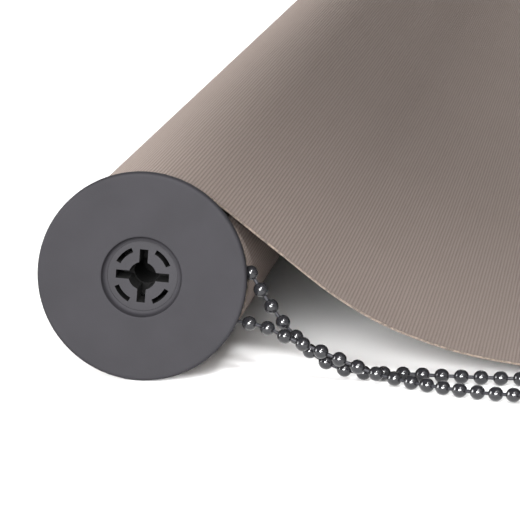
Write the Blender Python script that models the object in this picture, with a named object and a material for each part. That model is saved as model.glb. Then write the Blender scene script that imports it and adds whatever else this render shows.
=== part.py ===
"""Roller blind, taken down and lying on a flat surface with a short length of fabric pulled off the roll.

The roll's axis runs along +Y, from the control end's face to the tip of the idle end's pin. The fabric and
the bead chain leave towards +X. The surface that everything rests on is Z = 0. All lengths are in metres.
"""

import math

import bmesh
import bpy
from mathutils import Vector

# Driving dimensions
LENGTH = 1.200            # control face to idle pin tip
DISC_RADIUS = 0.032       # both end flanges, on whose rims the blind rests
FABRIC_START = 0.0120     # side edge of the fabric, behind the control face
FABRIC_WIDTH = 1.168
FABRIC_THICKNESS = 0.0006
ROLL_RADIUS = 0.0280      # tightly wound fabric
TURN_RADIUS = 0.0302      # the slack outermost turn, middle of its thickness
TURN_SAG = (0.0011, -0.0010)   # how far that turn hangs to the side and down, x and z
TUBE_RADIUS = 0.0220
TUBE_WALL = 0.0014
GAP = 0.0003              # between touching pieces

BEAD_DIAMETER = 0.0045
BEAD_PITCH = 0.0060
WHEEL_POCKETS = 15
CHAIN_PLANE = 0.0071      # middle of the chain wheel, behind the control face

FALL_END = 0.1650         # where the pulled-off fabric has come down flat
RAIL_WIDTH = 0.0280
RAIL_HEIGHT = 0.0110
FLAT_END = 0.3950         # where the fabric meets the bottom rail

# Worked out from them
FABRIC_END = FABRIC_START + FABRIC_WIDTH
PITCH_RADIUS = WHEEL_POCKETS * BEAD_PITCH / (2 * math.pi)
BEAD_RADIUS = BEAD_DIAMETER / 2
RAIL_START = FLAT_END + GAP
RAIL_END = RAIL_START + RAIL_WIDTH
AXIS_X = -(RAIL_END - DISC_RADIUS) / 2
FACE_Y = -LENGTH / 2


def mm(value):
    return value / 1000


# ---------------------------------------------------------------- helpers

def clear_scene():
    for obj in list(bpy.data.objects):
        bpy.data.objects.remove(obj, do_unlink=True)


def linear(channel):
    return channel / 12.92 if channel <= 0.04045 else ((channel + 0.055) / 1.055) ** 2.4


def make_material(name, colour, roughness, metallic=0.0):
    """A Principled material from an sRGB hex colour."""
    material = bpy.data.materials.new(name)
    material.use_nodes = True
    shader = material.node_tree.nodes["Principled BSDF"]
    rgb = [linear(int(colour[i:i + 2], 16) / 255) for i in (1, 3, 5)]
    shader.inputs["Base Color"].default_value = (*rgb, 1.0)
    shader.inputs["Roughness"].default_value = roughness
    shader.inputs["Metallic"].default_value = metallic
    return material


def make_empty(name, location):
    empty = bpy.data.objects.new(name, None)
    empty.location = location
    bpy.context.collection.objects.link(empty)
    return empty


def make_object(name, bm, material, parent, origin=(0, 0, 0)):
    """Links a finished bmesh, given about its origin, as a smooth-shaded object under its parent empty."""
    bmesh.ops.recalc_face_normals(bm, faces=bm.faces)
    mesh = bpy.data.meshes.new(name)
    bm.to_mesh(mesh)
    bm.free()
    mesh.materials.append(material)
    mesh.shade_smooth()
    mesh.set_sharp_from_angle(angle=math.radians(35))
    obj = bpy.data.objects.new(name, mesh)
    obj.parent = parent
    obj.location = origin
    bpy.context.collection.objects.link(obj)
    return obj


def cut_with(target, cutter):
    """Subtracts the cutter from the target and keeps the cutter as a hidden guide."""
    cutter.hide_render = True
    cutter.display_type = "WIRE"
    modifier = target.modifiers.new(cutter.name, "BOOLEAN")
    modifier.operation = "DIFFERENCE"
    modifier.solver = "EXACT"
    modifier.object = cutter


def even_angles(steps):
    return [2 * math.pi * i / steps for i in range(steps)]


def turned(profile, angles):
    """A solid turned about Y. Profile entries are (radius, y), and a radius may be a function of the angle."""
    bm = bmesh.new()
    rings = []
    for radius, y in profile:
        ring = []
        if radius == 0:
            ring = [bm.verts.new((0, y, 0))]
        else:
            for a in angles:
                r = radius(a) if callable(radius) else radius
                ring.append(bm.verts.new((r * math.cos(a), y, r * math.sin(a))))
        rings.append(ring)
    count = len(angles)
    for ring, after in zip(rings, rings[1:] + rings[:1]):
        for i in range(count):
            corners = [ring[i % len(ring)], ring[(i + 1) % len(ring)],
                       after[(i + 1) % len(after)], after[i % len(after)]]
            face = list(dict.fromkeys(corners))
            if len(face) > 2:
                bm.faces.new(face)
    return bm


def lofted(sections):
    """A solid through sections, each a list of as many (x, z) points and its y, with flat ends."""
    bm = bmesh.new()
    rings = [[bm.verts.new((x, y, z)) for x, z in outline] for outline, y in sections]
    for ring, after in zip(rings, rings[1:]):
        for i in range(len(ring)):
            j = (i + 1) % len(ring)
            bm.faces.new((ring[i], ring[j], after[j], after[i]))
    bm.faces.new(rings[0])
    bm.faces.new(rings[-1])
    return bm


def smooth_through(points, per_span):
    """Points along a Catmull-Rom curve through the given ones."""
    points = [Vector(p) for p in points]
    padded = [2 * points[0] - points[1]] + points + [2 * points[-1] - points[-2]]
    out = []
    for a, b, c, d in zip(padded, padded[1:], padded[2:], padded[3:]):
        for i in range(per_span):
            t = i / per_span
            out.append(0.5 * (2 * b + (c - a) * t + (2 * a - 5 * b + 4 * c - d) * t ** 2
                              + (3 * b - a - 3 * c + d) * t ** 3))
    return out + [points[-1]]


def sheet_outline(centre_line, thickness):
    """The closed outline of a sheet of the given thickness along an (x, z) centre line."""
    upper, lower = [], []
    for i, point in enumerate(centre_line):
        before = centre_line[max(i - 1, 0)]
        after = centre_line[min(i + 1, len(centre_line) - 1)]
        along = (after - before).normalized()
        across = Vector((-along.y, along.x)) * thickness / 2
        upper.append(point + across)
        lower.append(point - across)
    return [tuple(p) for p in upper + lower[::-1]]


def make_tube(name, points, radius, material, parent, resolution=2):
    """A round cord or wire along the given points, with closed ends."""
    curve = bpy.data.curves.new(name, "CURVE")
    curve.dimensions = "3D"
    curve.bevel_depth = radius
    curve.bevel_resolution = resolution
    curve.render_resolution_u = 0
    curve.use_fill_caps = True
    spline = curve.splines.new("POLY")
    spline.points.add(len(points) - 1)
    for target, point in zip(spline.points, points):
        target.co = (*point, 1.0)
    curve.materials.append(material)
    obj = bpy.data.objects.new(name, curve)
    obj.parent = parent
    bpy.context.collection.objects.link(obj)
    return obj


def helix(radius, start, end, turns, per_turn=11):
    """Points of a spring about Y, from one y to another."""
    steps = int(turns * per_turn)
    points = []
    for i in range(steps + 1):
        a = 2 * math.pi * turns * i / steps
        points.append((radius * math.cos(a), start + (end - start) * i / steps, radius * math.sin(a)))
    return points


# ---------------------------------------------------------------- control end

FLANGE_BACK = mm(3.2)
RIM_EDGE = mm(1.1)        # rounding of both discs' outer rims
RIM_BACK_EDGE = mm(0.5)
RECESS_RADIUS = mm(12.4)
HUB_RADIUS = mm(10.5)
HUB_FACE = mm(2.4)
HUB_TWIST = math.radians(4.3)
HUB_BARREL_RADIUS = mm(10.1)
HUB_BARREL_END = mm(13.0)
SPINDLE_RADIUS = mm(7.5)
SPINDLE_END = mm(47.5)
SOCKET_DEPTH = mm(11.0)
SOCKET_ARM = mm(8.15)
SOCKET_ARM_WIDTH = mm(2.6)
SOCKET_CENTRE_RADIUS = mm(4.3)
SOCKET_BORE_RADIUS = mm(4.0)
SOCKET_BORE_DEPTH = mm(32.0)
CUTTER_REACH = mm(1)      # how far cutters stand out of the face they cut
ARC_SLOT_INNER = mm(7.7)
ARC_SLOT_OUTER = mm(9.15)
ARC_SLOT_HALF_ANGLE = math.radians(20)
WHEEL_BORE = HUB_BARREL_RADIUS + GAP
WHEEL_RIM = mm(1.0)
WHEEL_RIM_RADIUS = mm(15.0)
RIM_SCALLOP = mm(1.1)
WHEEL_GROOVE = mm(5.1)
WHEEL_GROOVE_RADIUS = mm(11.75)
WHEEL_BARREL_END = mm(26.0)
GUARD_INNER = mm(17.3)
GUARD_WALL = mm(1.8)
GUARD_BACK = mm(11.5)
GUARD_ARC = (math.radians(104), math.radians(256))
CLUTCH_WIRE = mm(0.6)
CLUTCH_CLEARANCE = mm(0.4)
CLUTCH_START = mm(16.0)
CLUTCH_STEP = mm(14.5)    # from one spring's start to the next
CLUTCH_LENGTH = mm(8.0)
CLUTCH_TURNS = 4.5
CLIP_BORE = mm(3.0)
CLIP_RADIUS = mm(10.5)
CLIP_THICKNESS = mm(1.2)


def control_flange(axis, plastic):
    """The cover disc, with a rounded rim and a sloped recess round the hub."""
    profile = [(HUB_RADIUS + GAP, HUB_FACE), (RECESS_RADIUS, 0.0), (DISC_RADIUS - RIM_EDGE, 0.0)]
    for step in range(1, 5):
        a = math.pi / 2 * step / 4
        profile.append((DISC_RADIUS - RIM_EDGE * (1 - math.sin(a)), RIM_EDGE * (1 - math.cos(a))))
    profile += [(DISC_RADIUS, FLANGE_BACK - RIM_BACK_EDGE), (DISC_RADIUS - RIM_BACK_EDGE, FLANGE_BACK),
                (HUB_RADIUS + GAP, FLANGE_BACK)]
    return make_object("control_flange", turned(profile, even_angles(80)), plastic, axis)


def control_hub(axis, plastic):
    """The fixed hub and spindle. The bracket's cross-shaped plug goes into its face."""
    profile = [(0, HUB_FACE), (HUB_RADIUS, HUB_FACE), (HUB_RADIUS, FLANGE_BACK),
               (HUB_BARREL_RADIUS, FLANGE_BACK), (HUB_BARREL_RADIUS, HUB_BARREL_END),
               (SPINDLE_RADIUS, HUB_BARREL_END), (SPINDLE_RADIUS, SPINDLE_END), (0, SPINDLE_END)]
    hub = make_object("control_hub", turned(profile, even_angles(56)), plastic, axis)
    cut_with(hub, cross_cutter(axis, plastic))
    cut_with(hub, bore_cutter(axis, plastic))
    for quarter in range(4):
        middle = math.radians(45 + 90 * quarter) - HUB_TWIST
        cut_with(hub, arc_cutter(f"arc_slot_cutter_{quarter + 1}", middle, axis, plastic))
    return hub


def cross_cutter(axis, plastic):
    """A cross with a round middle, as one outline pushed into the hub's face."""
    half = SOCKET_ARM_WIDTH / 2
    reach = math.sqrt(SOCKET_CENTRE_RADIUS ** 2 - half ** 2)
    first = math.atan2(half, reach)
    outline = []
    for quarter in range(4):
        turn = math.pi / 2 * quarter - HUB_TWIST
        corners = [(reach, -half), (SOCKET_ARM, -half), (SOCKET_ARM, half), (reach, half)]
        for step in range(1, 5):
            a = first + (math.pi / 2 - 2 * first) * step / 5
            corners.append((SOCKET_CENTRE_RADIUS * math.cos(a), SOCKET_CENTRE_RADIUS * math.sin(a)))
        for x, z in corners:
            outline.append((x * math.cos(turn) - z * math.sin(turn),
                            x * math.sin(turn) + z * math.cos(turn)))
    bm = lofted([(outline, -CUTTER_REACH), (outline, HUB_FACE + SOCKET_DEPTH)])
    return make_object("cross_cutter", bm, plastic, axis)


def bore_cutter(axis, plastic):
    """The round bore that goes on behind the cross."""
    profile = [(0, -CUTTER_REACH), (SOCKET_BORE_RADIUS, -CUTTER_REACH),
               (SOCKET_BORE_RADIUS, SOCKET_BORE_DEPTH), (0, SOCKET_BORE_DEPTH)]
    return make_object("bore_cutter", turned(profile, even_angles(24)), plastic, axis)


def arc_cutter(name, middle, axis, plastic):
    """A curved slot between two arms of the cross."""
    steps = 8
    sweep = [middle + ARC_SLOT_HALF_ANGLE * (2 * i / steps - 1) for i in range(steps + 1)]
    outline = [(ARC_SLOT_OUTER * math.cos(a), ARC_SLOT_OUTER * math.sin(a)) for a in sweep]
    outline += [(ARC_SLOT_INNER * math.cos(a), ARC_SLOT_INNER * math.sin(a)) for a in sweep[::-1]]
    bm = lofted([(outline, -CUTTER_REACH), (outline, HUB_FACE + SOCKET_DEPTH)])
    return make_object(name, bm, plastic, axis)


def chain_guard(axis, plastic):
    """An arc wall round the back of the chain wheel. Its open side lets both strands out."""
    steps = 24
    start, end = GUARD_ARC
    sweep = [start + (end - start) * i / steps for i in range(steps + 1)]
    outline = [((GUARD_INNER + GUARD_WALL) * math.cos(a), (GUARD_INNER + GUARD_WALL) * math.sin(a))
               for a in sweep]
    outline += [(GUARD_INNER * math.cos(a), GUARD_INNER * math.sin(a)) for a in sweep[::-1]]
    bm = lofted([(outline, FLANGE_BACK + GAP), (outline, GUARD_BACK)])
    return make_object("chain_guard", bm, plastic, axis)


def scalloped(angle):
    """The chain wheel's rim radius, with one dip for each bead."""
    dip = 0.5 - 0.5 * math.cos(WHEEL_POCKETS * angle)
    return WHEEL_RIM_RADIUS - RIM_SCALLOP * dip


def chain_wheel(axis, plastic):
    """The grooved wheel that the chain drives, with the barrel that turns the clutch springs."""
    low = CHAIN_PLANE - WHEEL_GROOVE / 2
    high = CHAIN_PLANE + WHEEL_GROOVE / 2
    profile = [(WHEEL_BORE, low - WHEEL_RIM), (scalloped, low - WHEEL_RIM), (scalloped, low),
               (WHEEL_GROOVE_RADIUS, low), (WHEEL_GROOVE_RADIUS, high), (scalloped, high),
               (scalloped, high + WHEEL_RIM), (WHEEL_GROOVE_RADIUS, high + WHEEL_RIM),
               (WHEEL_GROOVE_RADIUS, WHEEL_BARREL_END), (WHEEL_BORE, WHEEL_BARREL_END)]
    return make_object("chain_wheel", turned(profile, even_angles(4 * WHEEL_POCKETS)), plastic, axis)


def clutch_spring(number, axis, steel):
    """One of the wrap springs that grip the spindle and hold the blind at any height."""
    start = CLUTCH_START + CLUTCH_STEP * (number - 1)
    radius = SPINDLE_RADIUS + CLUTCH_WIRE + CLUTCH_CLEARANCE
    points = helix(radius, start, start + CLUTCH_LENGTH, CLUTCH_TURNS)
    return make_tube(f"clutch_spring_{number}", points, CLUTCH_WIRE, steel, axis, resolution=1)


def spindle_clip(axis, steel):
    """The washer that keeps the clutch on the spindle's end."""
    near = SPINDLE_END + GAP
    far = near + CLIP_THICKNESS
    profile = [(CLIP_BORE, near), (CLIP_RADIUS, near), (CLIP_RADIUS, far), (CLIP_BORE, far)]
    return make_object("spindle_clip", turned(profile, even_angles(32)), steel, axis)


# ---------------------------------------------------------------- roller

TUBE_START = mm(13.2)
TUBE_END = FABRIC_END - mm(1.2)
COLLAR_RADIUS = TUBE_RADIUS - mm(0.6)
ADAPTER_START = mm(12.2)
ADAPTER_COLLAR_END = mm(12.9)
ADAPTER_RIB_END = mm(52)
ADAPTER_END = mm(53)
ADAPTER_NOSE_RADIUS = mm(18)
ADAPTER_RIB_RADIUS = TUBE_RADIUS - TUBE_WALL - GAP
ADAPTER_RIB_HEIGHT = mm(1.8)
ADAPTER_RIB_HALF_ANGLE = math.radians(11)
ADAPTER_RIBS = 8
KEY_HEIGHT = mm(1.2)
KEY_HALF_ANGLE = math.radians(4.4)
FIRST_KEY = math.radians(22.5)
KEYS = 4
GROOVE_DEPTH = mm(0.9)
GROOVE_ANGLE = math.radians(105)
STEEP = math.radians(0.2)     # half of the angle that a steep side takes up
STRIP_HALF_ANGLE = math.radians(3.6)
STRIP_SETBACK = mm(2)         # from the fabric's side edges
STRIP_SUNK = mm(0.1)          # below the tube's surface


def ribbed_angles():
    """Angles with close pairs at each rib's edges, so that ribs have steep sides."""
    angles = []
    for rib in range(ADAPTER_RIBS):
        middle = 2 * math.pi * rib / ADAPTER_RIBS
        half, step = ADAPTER_RIB_HALF_ANGLE, math.pi / ADAPTER_RIBS
        between = (half + step) / 2
        for offset in (-step, -between, -half - STEEP, -half + STEEP, 0, half - STEEP, half + STEEP, between):
            angles.append(middle + offset)
    return angles


def ribbed(angle):
    """The adapter's outer radius. Its ribs reach the tube's bore between the tube's keys."""
    step = 2 * math.pi / ADAPTER_RIBS
    offset = abs((angle + step / 2) % step - step / 2)
    return ADAPTER_RIB_RADIUS if offset < ADAPTER_RIB_HALF_ANGLE else ADAPTER_RIB_RADIUS - ADAPTER_RIB_HEIGHT


def tube_adapter(axis, plastic):
    """The crown that carries the tube and turns about the clutch."""
    bore = WHEEL_GROOVE_RADIUS + CLUTCH_CLEARANCE
    profile = [(bore, ADAPTER_START), (COLLAR_RADIUS, ADAPTER_START), (COLLAR_RADIUS, ADAPTER_COLLAR_END),
               (ribbed, ADAPTER_COLLAR_END), (ribbed, ADAPTER_RIB_END), (ADAPTER_NOSE_RADIUS, ADAPTER_END),
               (bore, ADAPTER_END)]
    return make_object("tube_adapter", turned(profile, ribbed_angles()), plastic, axis)


def tube_angles():
    """Angles for the tube: round stretches with close pairs at the keys and the fabric groove."""
    angles = list(even_angles(48))
    edges = [KEY_HALF_ANGLE - STEEP, KEY_HALF_ANGLE + STEEP]
    middles = [FIRST_KEY + 2 * math.pi * key / KEYS for key in range(KEYS)] + [GROOVE_ANGLE]
    for middle in middles:
        angles += [middle - e for e in edges] + [middle + e for e in edges]
    return sorted({round(a % (2 * math.pi), 5) for a in angles})


def keyed(angle):
    """The tube's bore radius, with four keys standing inwards."""
    step = 2 * math.pi / KEYS
    offset = abs((angle - FIRST_KEY + step / 2) % step - step / 2)
    bore = TUBE_RADIUS - TUBE_WALL
    return bore - KEY_HEIGHT if offset < KEY_HALF_ANGLE else bore


def grooved(angle):
    """The tube's outer radius, with the shallow groove that takes the fabric's strip."""
    offset = abs(angle - GROOVE_ANGLE)
    return TUBE_RADIUS - GROOVE_DEPTH if offset < KEY_HALF_ANGLE else TUBE_RADIUS


def roller_tube(axis, aluminium):
    profile = [(grooved, TUBE_START), (grooved, TUBE_END), (keyed, TUBE_END), (keyed, TUBE_START)]
    return make_object("roller_tube", turned(profile, tube_angles()), aluminium, axis)


def fabric_strip(axis, tape):
    """The strip in the tube's groove that holds the fabric's top edge."""
    low, high = GROOVE_ANGLE - STRIP_HALF_ANGLE, GROOVE_ANGLE + STRIP_HALF_ANGLE
    inner, outer = TUBE_RADIUS - GROOVE_DEPTH + GAP, TUBE_RADIUS - STRIP_SUNK
    outline = [(inner * math.cos(low), inner * math.sin(low)), (outer * math.cos(low), outer * math.sin(low)),
               (outer * math.cos(high), outer * math.sin(high)),
               (inner * math.cos(high), inner * math.sin(high))]
    bm = lofted([(outline, FABRIC_START + STRIP_SETBACK), (outline, FABRIC_END - STRIP_SETBACK)])
    return make_object("fabric_strip", bm, tape, axis)


def fabric_roll(axis, fabric):
    """The wound fabric, as one ring."""
    profile = [(TUBE_RADIUS + GAP, FABRIC_START), (ROLL_RADIUS, FABRIC_START),
               (ROLL_RADIUS, FABRIC_END), (TUBE_RADIUS + GAP, FABRIC_END)]
    return make_object("fabric_roll", turned(profile, even_angles(72)), fabric, axis)


# ---------------------------------------------------------------- idle end

IDLE_FLANGE_START = FABRIC_END + mm(0.8)
IDLE_FLANGE_END = IDLE_FLANGE_START + FLANGE_BACK
IDLE_STEP_RADIUS = mm(14)
IDLE_STEP_DEPTH = mm(0.8)
PLUG_START = FABRIC_END - mm(42)
PLUG_END = FABRIC_END + mm(0.5)
PLUG_BORE = mm(8.4)
PLUG_DRAIN_RADIUS = mm(3)     # the small hole through the plug's inner end
PLUG_NOSE_RADIUS = mm(17.5)
PLUG_WALL = mm(3)
BUSH_RADIUS = mm(8.1)
BUSH_BORE = mm(5.6)
BUSH_START = PLUG_START + mm(6)
BUSH_WALL = mm(2.5)
BUSH_DRAIN_RADIUS = mm(2.2)
BUSH_NOSE_RADIUS = mm(10.5)
BUSH_NOSE_EDGE = mm(0.8)
BUSH_NOSE_END = IDLE_FLANGE_END + mm(4.5)
BUSH_NECK = mm(3)             # how far the narrow guide for the pin goes in
PIN_RADIUS = mm(3.7)
PIN_EDGE = mm(1)
PIN_COLLAR_START = BUSH_START + mm(20)
PIN_COLLAR_END = PIN_COLLAR_START + mm(2.5)
IDLE_SPRING_RADIUS = mm(4.5)
IDLE_SPRING_WIRE = mm(0.45)
IDLE_SPRING_TURNS = 6


def idle_plug(axis, plastic):
    """The plug in the tube's far end, bored for the bearing bush."""
    profile = [(PLUG_DRAIN_RADIUS, PLUG_START), (PLUG_NOSE_RADIUS, PLUG_START), (ribbed, PLUG_START + mm(1)),
               (ribbed, TUBE_END + GAP), (COLLAR_RADIUS, TUBE_END + GAP), (COLLAR_RADIUS, PLUG_END),
               (PLUG_BORE, PLUG_END), (PLUG_BORE, PLUG_START + PLUG_WALL),
               (PLUG_DRAIN_RADIUS, PLUG_START + PLUG_WALL)]
    return make_object("idle_plug", turned(profile, ribbed_angles()), plastic, axis)


def idle_flange(axis, plastic):
    """The far end's disc, with a rounded rim and a shallow ring step."""
    start, end = IDLE_FLANGE_START, IDLE_FLANGE_END
    profile = [(PLUG_BORE, start), (DISC_RADIUS - RIM_BACK_EDGE, start), (DISC_RADIUS, start + RIM_BACK_EDGE)]
    for step in range(4):
        a = math.pi / 2 * step / 3
        profile.append((DISC_RADIUS - RIM_EDGE * (1 - math.cos(a)), end - RIM_EDGE * (1 - math.sin(a))))
    profile += [(IDLE_STEP_RADIUS + mm(1), end), (IDLE_STEP_RADIUS, end - IDLE_STEP_DEPTH),
                (PLUG_BORE, end - IDLE_STEP_DEPTH)]
    return make_object("idle_flange", turned(profile, even_angles(64)), plastic, axis)


def idle_bush(axis, nylon):
    """The bearing that stays still in the bracket while the roller turns round it."""
    nose = IDLE_FLANGE_END + GAP
    profile = [(BUSH_DRAIN_RADIUS, BUSH_START), (BUSH_RADIUS, BUSH_START), (BUSH_RADIUS, nose),
               (BUSH_NOSE_RADIUS, nose), (BUSH_NOSE_RADIUS, BUSH_NOSE_END - BUSH_NOSE_EDGE),
               (BUSH_NOSE_RADIUS - BUSH_NOSE_EDGE, BUSH_NOSE_END),
               (PIN_RADIUS + GAP, BUSH_NOSE_END), (PIN_RADIUS + GAP, nose - BUSH_NECK),
               (BUSH_BORE, nose - BUSH_NECK), (BUSH_BORE, BUSH_START + BUSH_WALL),
               (BUSH_DRAIN_RADIUS, BUSH_START + BUSH_WALL)]
    return make_object("idle_bush", turned(profile, even_angles(32)), nylon, axis)


def idle_pin(axis, steel):
    """The sprung pin that springs into the far bracket's hole."""
    profile = [(0, PIN_COLLAR_START), (BUSH_BORE - GAP, PIN_COLLAR_START),
               (BUSH_BORE - GAP, PIN_COLLAR_END), (PIN_RADIUS, PIN_COLLAR_END),
               (PIN_RADIUS, LENGTH - PIN_EDGE), (PIN_RADIUS - PIN_EDGE, LENGTH), (0, LENGTH)]
    return make_object("idle_pin", turned(profile, even_angles(32)), steel, axis)


def idle_spring(axis, steel):
    start = BUSH_START + BUSH_WALL + IDLE_SPRING_WIRE + GAP
    end = PIN_COLLAR_START - IDLE_SPRING_WIRE - GAP
    points = helix(IDLE_SPRING_RADIUS, start, end, IDLE_SPRING_TURNS)
    return make_tube("idle_spring", points, IDLE_SPRING_WIRE, steel, axis, resolution=1)


# ---------------------------------------------------------------- fabric off the roll, and the bottom rail

# The drop of the fabric from the roll to the surface, past its last point on the roll, as (x, z) in mm.
FALL_ROUTE = [
    (27.8, 48.5), (34.8, 42.9), (41.4, 37.7), (50.1, 30.8), (57.2, 25.6), (67.3, 19.5), (76.9, 15.0),
    (90.6, 10.1), (102.3, 7.1), (114.2, 5.1), (127.0, 3.3), (140.0, 1.8), (152.0, 0.7),
]
LEAVE_ANGLE = 51          # degrees above +X where the fabric leaves the roll
SPLIT_ANGLE = 75          # where the slack turn hands over to the fall
SPLIT_CLEARANCE = 0.6     # degrees between the two
TUCK_ANGLE = 396          # where the slack turn's inner end lies under the fall
TUCK_START = 345          # from here on that end is drawn in under the fall
TUCK_DEPTH = mm(1.1)
# How the flat stretch rises to the rail's slot, as (distance before the rail, height of its middle) in mm.
FLAT_RISE = [(28, 0.3), (20, 0.6), (10, 2.2)]
RAIL_WALL = mm(1.4)
RAIL_OPENING = math.radians(172)
OVAL_SQUARENESS = 0.8     # 1 gives an ellipse, less gives fuller corners
RAIL_STRIP_START = RAIL_START + mm(3.2)
RAIL_STRIP_WIDTH = mm(5)
RAIL_STRIP_HEIGHT = mm(2.6)
RAIL_STRIP_SETBACK = mm(12)
CAP_THICKNESS = mm(2.6)
CAP_EDGE = mm(0.7)
CAP_PLUG_LENGTH = mm(9)
CAP_PLUG_CLEARANCE = mm(0.6)


def on_turn(degrees, radius=TURN_RADIUS):
    a = math.radians(degrees)
    return (TURN_SAG[0] + radius * math.cos(a), DISC_RADIUS + TURN_SAG[1] + radius * math.sin(a))


def fabric_turn(ground, fabric):
    """The slack outermost turn, from where it is tucked under the fall round to the top of the roll."""
    steps = 32
    points = []
    for i in range(steps + 1):
        degrees = TUCK_ANGLE + (SPLIT_ANGLE - TUCK_ANGLE) * i / steps
        drawn_in = TUCK_DEPTH * max(0.0, (degrees - TUCK_START) / (TUCK_ANGLE - TUCK_START))
        points.append(Vector(on_turn(degrees, TURN_RADIUS - drawn_in)))
    outline = sheet_outline(points, FABRIC_THICKNESS)
    bm = lofted([(outline, FABRIC_START), (outline, FABRIC_END)])
    return make_object("fabric_turn", bm, fabric, ground)


def fabric_fall(ground, fabric):
    """The stretch from the top of the roll down to the surface."""
    first = SPLIT_ANGLE - SPLIT_CLEARANCE
    arc = [on_turn(first + (LEAVE_ANGLE - first) * i / 3) for i in range(4)]
    route = arc + [(mm(x), mm(z)) for x, z in FALL_ROUTE] + [(FALL_END, FABRIC_THICKNESS / 2)]
    line = [p.to_2d() for p in smooth_through([(x, z, 0) for x, z in route], 2)]
    outline = sheet_outline(line, FABRIC_THICKNESS)
    bm = lofted([(outline, FABRIC_START), (outline, FABRIC_END)])
    return make_object("fabric_fall", bm, fabric, ground)


def fabric_flat(ground, fabric):
    """The stretch that lies on the surface and is drawn in when the roller winds up."""
    points = [(FALL_END + GAP, FABRIC_THICKNESS / 2)]
    points += [(FLAT_END - mm(before), mm(height)) for before, height in FLAT_RISE]
    points.append((FLAT_END, RAIL_HEIGHT / 2))
    outline = sheet_outline([Vector(p) for p in points], FABRIC_THICKNESS)
    bm = lofted([(outline, FABRIC_START), (outline, FABRIC_END)])
    return make_object("fabric_flat", bm, fabric, ground)


def oval(half_width, half_height, angles):
    """Points of a flattened oval round the bottom rail's middle."""
    middle = RAIL_START + RAIL_WIDTH / 2
    points = []
    for a in angles:
        c, s = math.cos(a), math.sin(a)
        x = math.copysign(abs(c) ** OVAL_SQUARENESS, c) * half_width
        z = math.copysign(abs(s) ** OVAL_SQUARENESS, s) * half_height
        points.append((middle + x, RAIL_HEIGHT / 2 + z))
    return points


def bottom_rail(ground, aluminium):
    """A hollow oval extrusion with a slot along its near side for the fabric."""
    steps = 40
    sweep = [RAIL_OPENING * (2 * i / steps - 1) for i in range(steps + 1)]
    outline = oval(RAIL_WIDTH / 2, RAIL_HEIGHT / 2, sweep)
    outline += oval(RAIL_WIDTH / 2 - RAIL_WALL, RAIL_HEIGHT / 2 - RAIL_WALL, sweep[::-1])
    bm = lofted([(outline, FABRIC_START), (outline, FABRIC_END)])
    return make_object("bottom_rail", bm, aluminium, ground)


def rail_strip(ground, tape):
    """The strip on the fabric's lower edge that locks it in the rail."""
    x0, x1 = RAIL_STRIP_START, RAIL_STRIP_START + RAIL_STRIP_WIDTH
    z0, z1 = (RAIL_HEIGHT - RAIL_STRIP_HEIGHT) / 2, (RAIL_HEIGHT + RAIL_STRIP_HEIGHT) / 2
    outline = [(x0, z0), (x1, z0), (x1, z1), (x0, z1)]
    bm = lofted([(outline, FABRIC_START + RAIL_STRIP_SETBACK), (outline, FABRIC_END - RAIL_STRIP_SETBACK)])
    return make_object("rail_strip", bm, tape, ground)


def rail_cap(name, edge, outwards, ground, plastic):
    """An end cap: an oval plate outside the rail and a plug inside it."""
    angles = even_angles(40)
    drawn_in = RAIL_WALL + CAP_PLUG_CLEARANCE
    full = oval(RAIL_WIDTH / 2, RAIL_HEIGHT / 2, angles)
    eased = oval(RAIL_WIDTH / 2 - CAP_EDGE, RAIL_HEIGHT / 2 - CAP_EDGE, angles)
    plug = oval(RAIL_WIDTH / 2 - drawn_in, RAIL_HEIGHT / 2 - drawn_in, angles)
    inside, outside = edge + outwards * GAP, edge + outwards * CAP_THICKNESS
    sections = [(plug, edge - outwards * CAP_PLUG_LENGTH), (plug, inside), (full, inside),
                (full, outside - outwards * CAP_EDGE), (eased, outside)]
    return make_object(name, lofted(sections), plastic, ground)


# ---------------------------------------------------------------- bead chain

WRAP_ARC = (math.radians(77), math.radians(272))
COIL_CENTRE = (mm(172), -mm(30))
COIL_MIDDLE_RADIUS = mm(25.5)
COIL_COLUMNS = 4
COIL_LAYERS = 2
COIL_LIFT = mm(1.1)       # the tie passes under the coil
COIL_HALF_WIDTH = COIL_COLUMNS * BEAD_DIAMETER / 2 + mm(0.1)
COIL_EDGE = mm(1.2)
CONNECTOR_RADIUS = mm(3.2)
CONNECTOR_EDGE = mm(0.8)
CONNECTOR_GAP = mm(0.9)   # the strands meet it at a slight angle
TIE_WIDTH = mm(5)
TIE_THICKNESS = mm(0.8)
TIE_INNER_CLEARANCE = mm(0.6)

# The strand from the top of the wheel, out and down to the surface and on to the coil, as (x, y, z) in mm.
UPPER_STRAND = [
    (3.6, 7.1, 45.9), (10.0, 7.1, 44.6), (17.0, 7.1, 42.6), (24.0, 7.1, 39.7), (29.0, 7.1, 36.5),
    (32.4, 7.1, 33.0), (35.4, 7.1, 27.9), (38.7, 7.1, 22.7), (42.4, 7.1, 17.7), (46.7, 7.2, 12.9),
    (51.0, 7.3, 8.6), (56.0, 7.5, 5.3), (61.8, 7.7, 3.2), (67.7, 8.0, 2.4), (75.0, 8.6, 2.3),
    (81.5, 8.2, 2.3), (88.0, 7.0, 2.3), (94.0, 6.4, 2.3), (103.0, 5.4, 2.3), (112.0, 4.9, 2.3),
    (124.0, 4.8, 2.3), (136.0, 5.0, 2.4), (147.0, 5.0, 2.6), (156.5, 4.7, 2.9),
]
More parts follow.
